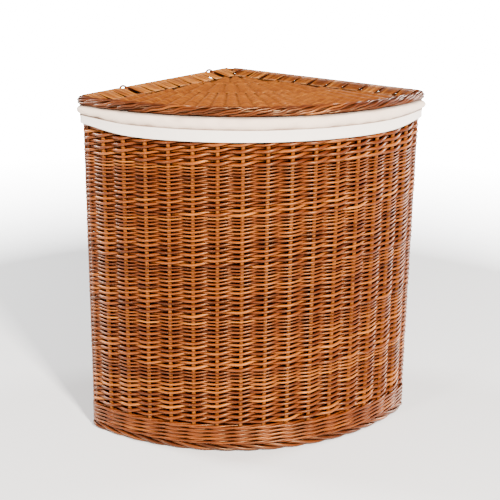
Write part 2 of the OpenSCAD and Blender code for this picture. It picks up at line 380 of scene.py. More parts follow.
floor_finish = Finish("studio_white")
floor_place = floor_finish.coords("object")
floor_tooth = floor_finish.noise(floor_place, 3.0, 2)
from_middle = floor_finish.node("ShaderNodeVectorMath",
    {"operation": "LENGTH"}, {0: floor_place}, out=1)
floor_finish.set(Base_Color=(0.93, 0.93, 0.93, 1))
floor_finish.set(Roughness=floor_tooth * 0.08 + 0.32)
# the floor fades into the backdrop, as a sheet of studio paper does
floor_finish.set(Alpha=((PAPER_END - from_middle) * 0.6).clamped())
floor.data.materials.append(floor_finish.material)
print("finishes:", len(bpy.data.materials))

# %% [markdown]
# ## The plan of the basket
# The wall follows a closed outline: a curved front, two straight sides that
# meet at a square back corner, and three rounded corners. Every rod is placed
# on this outline, at some depth behind the wall's outer face, so it is worked
# out once. The sizes are those of the CAD model.

# %% Sizes of the plan
SIDE = 400 * MM
BOW_IN = 50 * MM
WALL = 14 * MM
BACK_R = 16 * MM
FRONT_R = 20 * MM
STAKE_D = 6 * MM
FRONT_PITCH = 6.1    # degrees between the front's stakes
FRONT_LAST = 7       # stakes on each side of the middle one
SIDE_STAKES = 9
AXIS_IN = 4 * MM     # the lid's edge rods stand this far in from the side
MID = WALL / 2
joint = frame["record"]["behaviour"]["joints"][0]
CORNER_Y = joint["pos_m"][1] + AXIS_IN / HALF
AXIS_Z = joint["pos_m"][2]
BOW_R = math.hypot(SIDE * HALF, SIDE * HALF - BOW_IN)
BOW_Y = CORNER_Y - BOW_IN
print("back corner y %.4f, front radius %.4f" % (CORNER_Y, BOW_R))


# %% Points on the plan
def on_side(side, s, depth):
    """s along a straight side from the back corner, depth in from its face."""
    return np.array([side * (s - depth) * HALF, CORNER_Y - (s + depth) * HALF])


def meet(depth, radius):
    """How far along a side its line at depth meets the circle of radius."""
    b = BOW_IN / HALF
    k = depth * depth - b * depth + BOW_IN ** 2 - radius * radius
    return (b + math.sqrt(b * b - 4 * k)) / 2


def round_part(centre, radius, start, stop, count):
    """Points and outward normals on an arc, angles in degrees."""
    a = np.radians(np.linspace(start, stop, count))
    n = np.stack([np.cos(a), np.sin(a)], axis=1)
    return np.asarray(centre) + n * radius, n


CORNER_S = meet(FRONT_R, BOW_R - FRONT_R)
END_C = on_side(1, CORNER_S, FRONT_R)
BEND = math.degrees(math.atan2(END_C[0], BOW_Y - END_C[1]))


def straight_part(side, start, stop, depth, count):
    s = np.linspace(start, stop, count)[:, None]
    a, b = on_side(side, 0, depth), on_side(side, 1, depth)
    n = np.array([side * HALF, HALF])
    return a + (b - a) * s, np.repeat(n[None], count, axis=0)


def distance_along(path):
    """The distance from the start of a path to each of its points."""
    return np.concatenate([[0], np.cumsum(np.linalg.norm(np.diff(path, axis=0), axis=1))])


def outline(depth):
    """The closed outline at a depth: points, normals and distance along it."""
    left = END_C * [-1, 1]
    parts = [
        round_part((0, BOW_Y), BOW_R - depth, -90 - BEND, -90 + BEND, 800),
        round_part(END_C, FRONT_R - depth, -90 + BEND, 45, 80),
        straight_part(1, CORNER_S, BACK_R, depth, 500),
        round_part((0, CORNER_Y - BACK_R / HALF), BACK_R - depth, 45, 135, 60),
        straight_part(-1, BACK_R, CORNER_S, depth, 500),
        round_part(left, FRONT_R - depth, 135, 270 - BEND, 80),
    ]
    p = np.concatenate([q[0] for q in parts])
    n = np.concatenate([q[1] for q in parts])
    step = np.linalg.norm(np.diff(p, axis=0), axis=1)
    keep = np.concatenate([[True], step > 1e-7])
    p, n = p[keep], n[keep]
    return p, n, distance_along(p)


# %% The uprights, in order round the wall
turn_dir = math.radians((45 - BEND) / 2)
end_post = END_C + (FRONT_R - MID) * np.array(
    [math.cos(turn_dir), -math.sin(turn_dir)])
back_s = (BACK_R * (1 / HALF - 1) + MID) * HALF
end_post_s = (end_post[0] - (end_post[1] - CORNER_Y)) * HALF
side_step = (end_post_s - back_s) / (SIDE_STAKES + 1)
uprights = [end_post * [-1, 1]]
for i in range(-FRONT_LAST, FRONT_LAST + 1):
    a = math.radians(i * FRONT_PITCH)
    uprights.append(np.array([
        (BOW_R - MID) * math.sin(a), BOW_Y - (BOW_R - MID) * math.cos(a)]))
uprights.append(end_post)
side_places = [back_s + i * side_step for i in range(1, SIDE_STAKES + 1)]
uprights += [on_side(1, s, MID) for s in reversed(side_places)]
uprights.append(np.array([0, CORNER_Y - back_s / HALF]))
uprights += [on_side(-1, s, MID) for s in side_places]
uprights = np.array(uprights)
POSTS = (0, 2 * FRONT_LAST + 2, 2 * FRONT_LAST + 3 + SIDE_STAKES)
COUNT = len(uprights)
upright_r = np.full(COUNT, STAKE_D / 2)
# the weavers squeeze the corner posts, so the posts push them out no further
upright_r[list(POSTS)] = STAKE_D / 2 - 0.6 * MM
print(COUNT, "uprights")

# %% Places between the uprights
mid_p, mid_n, mid_gone = outline(MID)
mid_p = np.concatenate([mid_p, mid_p[:1]])
mid_n = np.concatenate([mid_n, mid_n[:1]])
AROUND = mid_gone[-1] + np.linalg.norm(mid_p[-1] - mid_p[-2])
mid_gone = np.append(mid_gone, AROUND)
nearest = np.array([
    mid_gone[np.argmin(np.linalg.norm(mid_p[:-1] - q, axis=1))] for q in uprights])
nearest[0] -= AROUND * (nearest[0] > AROUND / 2)
upright_at = np.append(nearest, nearest[0] + AROUND)


def round_wall(u):
    """Point, outward normal and upright radius at u, counted in uprights."""
    turns, part = np.divmod(u, COUNT)
    gone = np.interp(part, np.arange(COUNT + 1), upright_at) % AROUND
    xy = np.stack([np.interp(gone, mid_gone, mid_p[:, k]) for k in (0, 1)], axis=-1)
    n = np.stack([np.interp(gone, mid_gone, mid_n[:, k]) for k in (0, 1)], axis=-1)
    n /= np.linalg.norm(n, axis=-1, keepdims=True)
    r = np.interp(part, np.arange(COUNT + 1), np.append(upright_r, upright_r[0]))
    return xy, n, r


print("wall centreline %.3f m round" % AROUND)


# %% [markdown]
# ## Rods
# A rod is a tube along a path. A curve object with a round bevel gives the same
# tube, but a basket has hundreds of rods, each with its own taper and tone, so
# the rings of all tubes in a piece are worked out together, in one array, and
# every rod also gets its UV map and its tone.

# %% Make a piece of many rods
def tubes(name, paths, radius, tone, side_on, sides=7, closed=False):
    """One mesh of round rods. paths is rods x points x 3, radius rods x points,
    tone one number for each rod, and side_on a direction no path follows."""
    paths = np.asarray(paths, float)
    rods, points = paths.shape[:2]
    radius = np.broadcast_to(radius, (rods, points))
    tone = np.broadcast_to(tone, (rods,))
    if closed:
        along = np.roll(paths, -1, axis=1) - np.roll(paths, 1, axis=1)
    else:
        along = np.gradient(paths, axis=1)
    along /= np.linalg.norm(along, axis=-1, keepdims=True)
    across = np.cross(along, np.broadcast_to(side_on, paths.shape))
    across /= np.linalg.norm(across, axis=-1, keepdims=True)
    over = np.cross(across, along)
    a = np.linspace(0, 2 * math.pi, sides, endpoint=False)
    ring = np.cos(a)[:, None] * across[:, :, None] + np.sin(a)[:, None] * over[:, :, None]
    verts = paths[:, :, None] + ring * radius[:, :, None, None]
    step = np.linalg.norm(np.diff(paths, axis=1), axis=-1)
    gone = np.concatenate([np.zeros((rods, 1)), np.cumsum(step, axis=1)], axis=1)
    spans = points if closed else points - 1
    r, i, k = np.meshgrid(
        np.arange(rods), np.arange(spans), np.arange(sides), indexing="ij")
    this = (r * points + i) * sides
    ahead = (r * points + (i + 1) % points) * sides
    k2 = (k + 1) % sides
    quads = np.stack([this + k, this + k2, ahead + k2, ahead + k], axis=-1).reshape(-1, 4)
    last = gone[:, -1:] + np.linalg.norm(paths[:, 0] - paths[:, -1], axis=-1)[:, None]
    gone2 = np.concatenate([gone, last], axis=1)
    v1, v2 = gone2[r, i], gone2[r, i + 1]
    quad_uv = np.stack([
        np.stack([v1, k / sides], -1), np.stack([v1, (k + 1) / sides], -1),
        np.stack([v2, (k + 1) / sides], -1), np.stack([v2, k / sides], -1)],
        axis=-2).reshape(-1, 2)
    loops, uvs = [quads.reshape(-1)], [quad_uv]
    starts = np.arange(len(quads)) * 4
    totals = np.full(len(quads), 4)
    if not closed:
        # one flat face closes each end of a rod
        start = np.arange(rods)[:, None] * points
        first = start * sides + np.arange(sides)[::-1]
        final = (start + points - 1) * sides + np.arange(sides)
        caps = np.concatenate([first, final])
        starts = np.concatenate(
            [starts, len(quads) * 4 + np.arange(len(caps)) * sides])
        totals = np.concatenate([totals, np.full(len(caps), sides)])
        loops.append(caps.reshape(-1))
        uvs.append(np.zeros((caps.size, 2)))
    mesh = bpy.data.meshes.new(name)
    loops = np.concatenate(loops)
    mesh.vertices.add(verts.size // 3)
    mesh.vertices.foreach_set("co", verts.reshape(-1))
    mesh.loops.add(len(loops))
    mesh.loops.foreach_set("vertex_index", loops)
    mesh.polygons.add(len(starts))
    mesh.polygons.foreach_set("loop_start", starts)
    mesh.polygons.foreach_set("loop_total", totals)
    mesh.update(calc_edges=True)
    mesh.polygons.foreach_set("use_smooth", totals == 4)
    uv_map = mesh.uv_layers.new(name="along_rod")
    uv_map.uv.foreach_set("vector", np.concatenate(uvs).reshape(-1))
    store = mesh.attributes.new("tone", "FLOAT", "POINT")
    store.data.foreach_set("value", np.repeat(tone, points * sides).astype(np.float32))
    mesh.validate()
    made = bpy.data.objects.new(name, mesh)
    bpy.context.collection.objects.link(made)
    print(name, rods, "rods,", (totals - 2).sum(), "triangles")
    return made


def dress(piece, finish, body, slot, *nodes):
    """Gives a piece its finish and its body, and hides the CAD nodes that it stands for."""
    piece.data.materials.append(finish)
    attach(piece, body)
    if nodes:
        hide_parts(*nodes)


def in_space(xy, z):
    """Points in space from places on the plan and heights."""
    return np.concatenate([xy, np.asarray(z)[..., None]], axis=-1)


UP = (0, 0, 1)

# %% [markdown]
# ## French randing
# The wall is woven in bands. A band starts with one rod for every gap between
# two uprights. Each rod goes behind one upright and in front of the next, and
# climbs one row with every gap, so all rods of the band climb side by side in
# a spiral. Rods are thick at the butt and thin at the tip, so the rows at the
# foot of a band are far apart and those at its top are close. That is why the
# wall shows stripes. Where a rod passes in front of an upright it is level on
# its left and climbs on its right.

# %% Weave the bands
SEGMENTS = 8         # points of a rod's path in each gap between uprights
ROWS = 24
THINNEST = 0.8 * MM
THICKEST = 2.6 * MM
FOOT_SHARE = 1.32    # a band's first rows, as a share of its mean spacing
TOP_SHARE = 0.68
TOP_ROWS = 12
SWELL = 0.28         # how much thicker the weavers get beside a corner post
HOLD = 0.35          # and how much less they swing there


def randing(name, low, high, rows, first, last, seed):
    """A band of climbing weavers from z low to high. first and last are the
    spacing of the rows at its foot and at its top."""
    draw = np.random.default_rng(seed)
    row = np.linspace(0, rows, rows * SEGMENTS + 1)
    start = np.arange(COUNT)[:, None]
    u = start + row[None]
    xy, n, stake = round_wall(u)
    shape = 1 + 0.08 * draw.standard_normal((COUNT, 1))
    spacing = first + (last - first) * row / rows
    uneven = 1 + 0.05 * np.sin(u * 2.1 + draw.uniform(0, 6, (COUNT, 1)))
    r = np.clip(0.5 * spacing * shape * uneven, THINNEST, THICKEST)
    # at a corner the weavers are beaten down until they touch
    off = np.min([
        np.abs((u - post + COUNT / 2) % COUNT - COUNT / 2) for post in POSTS], axis=0)
    near = np.exp(-(off / 0.7) ** 2)
    r = r * (1 + SWELL * near * np.clip((2.4 * MM - r) / (0.5 * MM), 0, 1))
    # every second crossing is in front, and a front stroke is straight at its
    # ends and bends at the upright
    swing = -np.cos(math.pi * row)
    swing = np.sign(swing) * np.abs(swing) ** 0.85
    out = swing * (stake + r - 0.5 * MM) * (1 - HOLD * near)
    bend = 0.75 * (1 - np.cos(2 * math.pi * row)) / (2 * math.pi)
    climb = row + bend * np.where(np.cos(math.pi * row) < 0, 1, 0.4)
    z = low + first * (climb + 0.35) + (last - first) * climb ** 2 / (2 * rows)
    knots = np.arange(0, COUNT + rows + 2)
    wobble = draw.normal(0, 0.28 * MM, (COUNT, len(knots)))
    z = z + np.stack([np.interp(u[j], knots, wobble[j]) for j in range(COUNT)])
    paths = in_space(xy + n * out[..., None], np.clip(z, low + r, high + 2 * MM))
    tone = np.clip(draw.normal(0.5, 0.22, COUNT), 0, 1)
    return tubes(name, paths, r, tone, UP)


band_boxes = [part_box("weave_band_%d" % i) for i in range(1, 7)]
for i, (low, high) in enumerate(band_boxes, start=1):
    mean = (high[2] - low[2]) / ROWS
    rows, first, last = ROWS, FOOT_SHARE * mean, TOP_SHARE * mean
    if i == len(band_boxes):
        # the last band ends under the liner, before its rods get thin
        rows, first, last = TOP_ROWS, 5.0 * MM, 4.9 * MM
    band = randing("randing_%d" % i, low[2], high[2], rows, first, last, 20 + i)
    dress(band, willow_rods, "basket", "willow", "weave_band_%d" % i)

# %% [markdown]
# ### By-stakes at the corners
# The wall turns sharply at a front post, so the maker sets a shorter stake on
# each side of it, inside the weave, and the corner stays closed.

# %% Set the by-stakes
BESIDE = 0.21        # distance from the post, in gaps between uprights
BY_STAKE_R = 2.8 * MM
BY_STAKE_TONES = [0.1, 0.2, 0.15, 0.25]

z = np.linspace(band_boxes[0][0][2], band_boxes[-1][1][2] - 4 * MM, 24)
by_paths = []
for u in (BESIDE, COUNT - BESIDE, POSTS[1] - BESIDE, POSTS[1] + BESIDE):
    xy = round_wall(np.array([u]))[0]
    by_paths.append(in_space(np.repeat(xy, len(z), axis=0), z))
by_stakes = tubes(
    "corner_by_stakes", by_paths, BY_STAKE_R, BY_STAKE_TONES, (1, 0, 0), sides=8)
dress(by_stakes, willow_rods, "basket", "willow")

# %% [markdown]
# ## Waling
# Above the foot the wall is set with thick rods in threes. Each passes in front
# of two uprights and behind one, and over the next two rods on its way in, so
# the three make a rope round the wall. A few such rows hold the uprights apart
# before the lighter weave begins.

# %% Weave the waling
WALE_ROWS = 5
WALE_R = 2.0 * MM
wale_low, wale_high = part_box("upsett_wale")
wale_pitch = (wale_high[2] - wale_low[2]) / WALE_ROWS
u = np.arange(0, COUNT, 1 / SEGMENTS)
xy, n, stake = round_wall(u)
wale_paths, wale_tones = [], []
for level_no in range(WALE_ROWS):
    for strand in range(3):
        phase = 2 * math.pi * (u - strand - 0.5 + level_no) / 3
        # this wave is out at two uprights and in at the third
        reach = 1 / 3 + 1.05 * np.cos(phase) - 0.283 * np.cos(2 * phase)
        out = 0.4 * MM + reach * (stake + WALE_R - 0.9 * MM)
        z = wale_low[2] + wale_pitch * (level_no + 0.5) + 1.5 * MM * np.sin(phase)
        z = z + rng.normal(0, 0.2 * MM)
        wale_paths.append(in_space(xy + n * out[:, None], z))
        wale_tones.append(np.clip(rng.normal(0.5, 0.2), 0, 1))
wale = tubes("waling", wale_paths, WALE_R, wale_tones, UP, closed=True)
dress(wale, willow_rods, "basket", "willow", "upsett_wale")

# %% [markdown]
# ## Foot border
# At the foot the stakes are bent down to the right, each behind the next and
# out over the edge, so that the border looks like a thick rope. Each stroke is
# one rod that comes out at the top, crosses the outside and tucks in below.

# %% Roll the foot border
FOOT_R = 3.1 * MM
FOOT_GAPS = 3.0      # gaps between uprights that a rod passes in one turn
FOOT_TURNS = 1.1
FOOT_START = math.radians(60)
foot_low, foot_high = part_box("foot_border")
t = np.linspace(0, 1, int(FOOT_GAPS * SEGMENTS) + 1)
starts = np.arange(COUNT)[:, None]
xy, n, stake = round_wall(starts + FOOT_GAPS * FOOT_TURNS * t)
angle = FOOT_START + 2 * math.pi * FOOT_TURNS * t
coil = (foot_high[2] - foot_low[2]) / 2 - FOOT_R + 0.2 * MM
out = 0.6 * MM - coil * np.cos(angle)
z = (foot_low[2] + foot_high[2]) / 2 + coil * np.sin(angle)
foot_r = FOOT_R * (1 - 0.25 * t) * (1 + 0.07 * rng.standard_normal((len(starts), 1)))
foot_paths = in_space(xy + n * out[None, :, None], np.broadcast_to(z, xy.shape[:2]))
foot = tubes("foot_roll", foot_paths, foot_r,
    np.clip(rng.normal(0.55, 0.2, len(starts)), 0, 1), UP)
dress(foot, border_rods, "basket", "dark_willow", "foot_border")

# %% [markdown]
# ## Base
# The base is woven flat: sticks lie across it from side to side, and weavers
# pass over one and under the next from front to back, packed side by side. The
# sticks and the frame round them keep their solids, and the weavers are rods.

# %% Weave the base
STICKS = 7
BASE_R = 1.6 * MM
BASE_PITCH = 3.3 * MM
SHORTEST_WEAVER = 24 * MM
BASE_POINTS = 64
base_low, base_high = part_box("base_weave")
stick_low, stick_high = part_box("base_sticks")
base_mid = (base_low[2] + base_high[2]) / 2
base_swing = (base_high[2] - base_low[2]) / 2 - BASE_R
stick_step = (stick_high[1] - stick_low[1] - STAKE_D) / (STICKS - 1)
first_stick = stick_low[1] + STAKE_D / 2
base_front_r = BOW_Y - base_low[1]
base_paths = []
for x in np.arange(base_low[0] + 16 * MM, base_high[0] - 15 * MM, BASE_PITCH):
    back = base_high[1] - abs(x)
    front = BOW_Y - math.sqrt(base_front_r ** 2 - x * x)
    if back - front < SHORTEST_WEAVER:
        continue
    y = np.linspace(front + BASE_R, back - BASE_R, BASE_POINTS)
    side_up = 1 if len(base_paths) % 2 else -1
    z = base_mid + side_up * base_swing * np.cos(math.pi * (y - first_stick) / stick_step)
    base_paths.append(np.stack([np.full(BASE_POINTS, x), y, z], axis=-1))
base_weavers = tubes("base_weavers", base_paths, BASE_R,
    np.clip(rng.normal(0.4, 0.2, len(base_paths)), 0, 1), (1, 0, 0), sides=6)
dress(base_weavers, willow_rods, "basket", "willow", "base_weave")

# %% [markdown]
# ## Lid
# The lid is a fan. Stakes spread from the back corner to a rolled border along
# the curved front, and fine weavers run across them in arcs. The weavers rise
# over every stake and dip between, so the stakes show as ribs. Further out the
# gaps grow, so by-stakes are added and the ribs double. Beside the two straight
# edges strands run on alone, and wrap round the edge rods.

# %% Sizes of the lid
BORDER_D = 16 * MM
EDGE_D = 12 * MM
BAND_W = 30 * MM
lid_over = BORDER_D / 2 - AXIS_IN - 1 * MM
path_r = BOW_R + lid_over - BORDER_D / 2
panel_r = BOW_R + lid_over - BORDER_D
panel_in = AXIS_IN + EDGE_D / 2 + BAND_W
lid_end = on_side(1, meet(AXIS_IN, path_r), AXIS_IN)
lid_end_a = math.atan2(lid_end[0], BOW_Y - lid_end[1])
panel_low, panel_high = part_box("lid_panel")
PANEL_Z = (panel_low[2] + panel_high[2]) / 2
FAN_HALF = math.radians(45)
FAN_STEP = math.radians(3.75)
print("lid border radius %.3f, panel z %.3f" % (path_r, PANEL_Z))


# %% Weave the lid's panel
WEAVER_R = 1.3 * MM
PANEL_PITCH = 2.3 * MM
PER_RIB = 8          # points of a weaver's path between two ribs
RIB_RISE = 2.0 * MM


def fan_reach(a):
    """From the back corner to the panel's front edge, at angle a."""
    return BOW_IN * np.cos(a) + np.sqrt(panel_r ** 2 - (BOW_IN * np.sin(a)) ** 2)


def fan_rows(near, far, gap, seed):
    """Weavers across the fan between two distances from the corner, as a list
    of (path, radius). Each shows a stroke over every stake, and stakes are gap
    steps apart."""
    draw = np.random.default_rng(seed)
    mid_reach = float(fan_reach(0.0))
    made = []
    row_count = round((far - near) / PANEL_PITCH)
    for k in range(row_count):
        share = (near + (k + 0.5) * (far - near) / row_count) / mid_reach
        wide = FAN_HALF
        # the row stops where it meets the bands beside the straight edges
        for _ in range(8):
            reach = share * float(fan_reach(wide))
            wide = FAN_HALF - math.asin(min(0.99, (panel_in - 4 * MM) / reach))
        count = max(4, int(2 * wide / FAN_STEP * PER_RIB))
        a = np.linspace(-wide, wide, count)
        reach = share * fan_reach(a)
        rib = np.abs(np.cos(math.pi * a / (FAN_STEP * gap)))
        lift = RIB_RISE * (2 * rib - 1)
        lift = lift + 0.3 * MM * np.cos(math.pi * (a / FAN_STEP + k))
        lift = lift + draw.normal(0, 0.10 * MM, count)
        path = np.stack(
            [reach * np.sin(a), CORNER_Y - reach * np.cos(a), PANEL_Z + lift], axis=-1)
        made.append((path, WEAVER_R * (1 + 0.07 * draw.standard_normal())))
    return made


def along_path(at, gone, path):
    """The places on a path at some distances, if gone is that of its points."""
    return np.stack(
        [np.interp(at, gone, path[:, k]) for k in range(path.shape[1])], axis=-1)


def even(path, count):
    """The path with count points, so that rods of one mesh match."""
    return along_path(np.linspace(0, len(path) - 1, count), np.arange(len(path)), path)


# each section's near and far reach, and the fan steps from rib to rib in it
sections = [
    (55 * MM, 144 * MM, 4), (144 * MM, 232 * MM, 2),
    (232 * MM, float(fan_reach(0.0)) + 3 * MM, 1)]
for part, (near, far, gap) in enumerate(sections, start=1):
    rows = fan_rows(near, far, gap, 40 + part)
    most = max(len(path) for path, _ in rows)
    panel = tubes("lid_weave_%d" % part, [even(path, most) for path, _ in rows],
        np.array([[r] for _, r in rows]),
        np.clip(rng.normal(0.55, 0.16, len(rows)), 0, 1), UP, sides=6)
    stands_for = ["lid_panel"] if part == len(sections) else []
    dress(panel, lid_rods, "lid", "lid_willow", *stands_for)

# %% [markdown]
# ### Edges of the lid
# Each strand leaves the panel, rises over the edge rod, goes round it and comes
# back underneath. The strands are evenly spread on the rod but stand in groups
# at the panel, so dark wedges show between the groups. Strands are left out
# where a hinge loop holds the rod.

# %% Wrap the straight edges
STRAND_R = 1.25 * MM
CORE_R = 4.6 * MM
GROUP = 33 * MM
PER_GROUP = 8
WEDGE = 7.5 * MM
FIRST_STRAND = 14 * MM
LAST_STRAND = 9 * MM
CLEAR = 5.5 * MM     # from a hinge loop to the nearest strand
LOOP_AT = (1.5, SIDE_STAKES - 1.5)
loop_s = [back_s + k * side_step for k in LOOP_AT]


def edge_strands(side, seed):
    """Strands that wrap one edge rod, each a path from the panel and back."""
    draw = np.random.default_rng(seed)
    end = meet(panel_in, panel_r) - 3 * MM
    paths = []
    last = meet(AXIS_IN, path_r) - LAST_STRAND
    for s in np.arange(FIRST_STRAND, last, GROUP / PER_GROUP):
        if side < 0 and min(abs(s - q) for q in loop_s) < CLEAR:
            continue
        middle = (math.floor(s / GROUP) + 0.5) * GROUP
        at_panel = min(middle + (s - middle) * (1 - WEDGE / GROUP), end)
        wide = np.radians([55, 90, 130, 170, 210, 250, 285])
        depth = np.concatenate([
            [panel_in + 2 * MM, 28 * MM, 14 * MM],
            AXIS_IN + (CORE_R + STRAND_R) * np.cos(wide),
            [14 * MM, 28 * MM, panel_in + 2 * MM]])
        z = np.concatenate([[PANEL_Z + 2.4 * MM, PANEL_Z + 5.6 * MM, AXIS_Z + 5 * MM],
            AXIS_Z + (CORE_R + STRAND_R) * np.sin(wide),
            [AXIS_Z - 5.0 * MM, PANEL_Z - 0.6 * MM, PANEL_Z - 1.6 * MM]])
        blend = np.clip((depth - 8 * MM) / (panel_in - 8 * MM), 0, 1)
        along = s + (at_panel - s) * blend + draw.normal(0, 0.12 * MM)
        along = along + np.linspace(0, 0.5, len(depth)) * GROUP / PER_GROUP
        # a square corner leaves no room for full strands, so they stop short
        deep = np.minimum(depth, along - 1.5 * MM)
        paths.append(np.stack([
            side * (along - deep) * HALF, CORNER_Y - (along + deep) * HALF, z], axis=-1))
    # painted light: the left edge's strands get a paler tone and the right's a darker one,
    # as the light falls on them
    tone = np.clip(draw.normal(0.62 - 0.18 * side, 0.26, len(paths)), 0, 1)
    return np.array(paths), tone


for side, word in ((-1, "left"), (1, "right")):
    paths, tone = edge_strands(side, 50 + side)
    rod_dir = np.array([side * HALF, -HALF, 0])
    strands = tubes("lid_%s_strands" % word, paths, STRAND_R, tone, rod_dir, sides=6)
    dress(strands, strand_rods, "lid", "lid_willow", "lid_%s_band" % word)
    near = on_side(side, AXIS_IN, AXIS_IN)
    far = on_side(side, meet(AXIS_IN, path_r), AXIS_IN)
    t = np.linspace(0, 1, 40)[:, None]
    core = in_space(near + (far - near) * t, np.full(40, AXIS_Z))[None]
    rod = tubes("lid_%s_core" % word, core, CORE_R, [0.4], UP, sides=16)
    dress(rod, border_rods, "lid", "dark_willow", "lid_%s_rod" % word)

# %% [markdown]
# ### The rolled border
# The lid's stakes are bent along the front edge in pairs. Each pair comes up
# from below, crosses the outside at a flat slant that rises to the right, and
# goes over the top and down behind, so that the border is a rope with a dark
# gap between one pair and the next. At both ends a few rods run straight round
# the corner and cover the ends of the rope.

# %% The border's path, round both ends
def bend_round(start, corner, end, count=14):
    """A smooth turn from start to end that stays inside the corner."""
    t = np.linspace(0, 1, count)[:, None]
    return (1 - t) ** 2 * start + 2 * t * (1 - t) * corner + t ** 2 * end


TURN_IN = 8 * MM
EDGE_RUN = 24 * MM
a = np.linspace(0, lid_end_a - TURN_IN / path_r, 300)
half_arc = np.stack([path_r * np.sin(a), BOW_Y - path_r * np.cos(a)], axis=-1)
back_dir = np.array([-HALF, HALF])
round_end = bend_round(half_arc[-1], lid_end, lid_end + back_dir * TURN_IN)
edge_part = round_end[-1] + back_dir * np.linspace(0, EDGE_RUN, 16)[1:, None]
half_path = np.concatenate([half_arc, round_end[1:], edge_part])
border_path = np.concatenate([half_path[:0:-1] * [-1, 1], half_path])
border_gone = distance_along(border_path)
BORDER_LONG = border_gone[-1]
print("lid border %.3f m long" % BORDER_LONG)

# %% Places along the border
DROOP = 1.6 * MM     # how far the lid's front corners hang down
DROOP_RUN = 70 * MM


def on_border(at, coil, angle):
    """Points on the border, at a distance along it and round its middle line."""
    xy, ahead, behind = [
        along_path(at + ahead_by, border_gone, border_path) for ahead_by in (0, MM, -MM)]
    tangent = (ahead - behind) / np.linalg.norm(ahead - behind, axis=-1, keepdims=True)
    outward = np.stack([tangent[..., 1], -tangent[..., 0]], axis=-1)
    from_end = np.minimum(at, BORDER_LONG - at)
    sag = DROOP * np.exp(-(np.maximum(from_end - EDGE_RUN, 0) / DROOP_RUN) ** 2)
    xy = xy + outward * (coil * np.cos(angle))[..., None]
    return in_space(xy, AXIS_Z - sag + coil * np.sin(angle))


# %% Roll the pairs
ROPE_R = 1.9 * MM
ROPE_COIL = BORDER_D / 2 - ROPE_R
PAIR_STEP = 39 * MM
HOLE_STEP = 32 * MM
ROD_RUN = 175 * MM
ROD_TURNS = 1.15
SLANT = math.radians(14.5)
RODS_APART = 2.02 * ROPE_R / math.tan(SLANT)
ROPE_START = math.radians(-150)
ROPE_END_IN = 6 * MM
COVER = 42 * MM      # how much of the rope its end rods cover
SHORTEST_ROD = 60 * MM

t = np.linspace(0, 1, 60)
rope_paths, rope_radii = [], []
pairs = int((BORDER_LONG + ROD_RUN) / PAIR_STEP) + 1
for pair in range(pairs):
    for which in range(2):
        first = (pair + 1) * PAIR_STEP - ROD_RUN + which * RODS_APART
        at = first + ROD_RUN * t
        inside = np.clip(at, ROPE_END_IN, BORDER_LONG - ROPE_END_IN)
        tuck = np.clip(np.minimum(t, 1 - t) / 0.09, 0, 1) ** 0.6
        from_end = np.minimum(inside, BORDER_LONG - inside)
        under = np.clip((from_end - COVER) / (28 * MM), 0, 1)
        coil = ROPE_COIL * (0.4 + 0.6 * tuck) * (0.62 + 0.38 * under)
        coil = coil + 0.25 * MM * rng.standard_normal() * tuck
        angle = ROPE_START + 2 * math.pi * ROD_TURNS * t
        # neighbouring pairs lean together and apart, which opens small holes
        angle = angle + 0.15 * np.sin(2 * math.pi * at / HOLE_STEP + math.pi * pair)
        rope_paths.append(on_border(inside, coil, angle))
        thick = ROPE_R * (1 + 0.06 * rng.standard_normal()) * (1.04 - 0.16 * t)
        rope_radii.append(thick * (0.5 + 0.5 * tuck))
# points that were held at an end are spread out again, so no ring is doubled
spread, spread_radii = [], []
for path, thick in zip(rope_paths, rope_radii):
    gone = distance_along(path)
    if gone[-1] > SHORTEST_ROD:
        spread.append(along_path(np.linspace(0, gone[-1], len(t)), gone, path))
        spread_radii.append(thick)
rope = tubes("lid_rope", spread, spread_radii,
    np.clip(rng.normal(0.6, 0.22, len(spread)), 0, 1), UP)
dress(rope, border_rods, "lid", "dark_willow", "lid_front_border")
at = np.linspace(10 * MM, BORDER_LONG - 10 * MM, 200)
core = tubes("lid_rope_core", on_border(at, 0 * at, 0 * at)[None],
    ROPE_COIL - 1.6 * MM, [0.5], UP, sides=12)
dress(core, shaded_core_rods, "lid", "dark_willow")

# %% Run rods round both ends
END_R = 1.75 * MM
END_RODS = 7
END_START = -100     # degrees round the border, for the first rod
END_STEP = 38

end_paths = []
for turned in (1, -1):
    for k in range(END_RODS):
        angle = math.radians(END_START + END_STEP * k)
        reach_on = COVER + (22 + 9 * (k % 3)) * MM
        at = np.linspace(2 * MM, reach_on, 40)
        dive = np.clip((at - COVER + 6 * MM) / (reach_on - COVER + 6 * MM), 0, 1)
        coil = (BORDER_D / 2 - END_R) * (1 - 0.6 * dive ** 2)
        coil = coil * (0.6 + 0.4 * np.clip(at / (12 * MM), 0, 1) ** 0.5)
        leaning = angle + 0.9 * dive * turned
        at = at if turned > 0 else BORDER_LONG - at
        end_paths.append(on_border(at, coil, leaning))
ends = tubes("lid_rope_ends", end_paths, END_R,
    np.clip(rng.normal(0.55, 0.2, len(end_paths)), 0, 1), UP)
dress(ends, border_rods, "lid", "dark_willow")

# %% [markdown]
# ## Liner
# The liner is a cotton bag whose top is turned over the rim, like a pillowcase
# over a box. Outside it ends in a broad hem, which hangs smooth. Above the hem
# the cloth is fuller and stands a little proud. Each part is a flat sheet that
# is laid round the plan, and a Solidify modifier gives it its thickness.

# %% Heights of the liner
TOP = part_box("liner_cuff")[1][2]
HEM_LOW, HEM_TOP = (corner[2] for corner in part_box("liner_hem"))
FLOOR_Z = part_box("liner_bag")[0][2]
BAG_IN = 14.6 * MM
HEM_RISE = 10 * MM
LID_REACH = 60 * MM  # how far the lid's corners press the cloth on either side
FOLD_WAVES = 7       # waves of random length that add up to the cloth's folds
print("liner top z %.4f, hem from %.4f to %.4f" % (TOP, HEM_LOW, HEM_TOP))


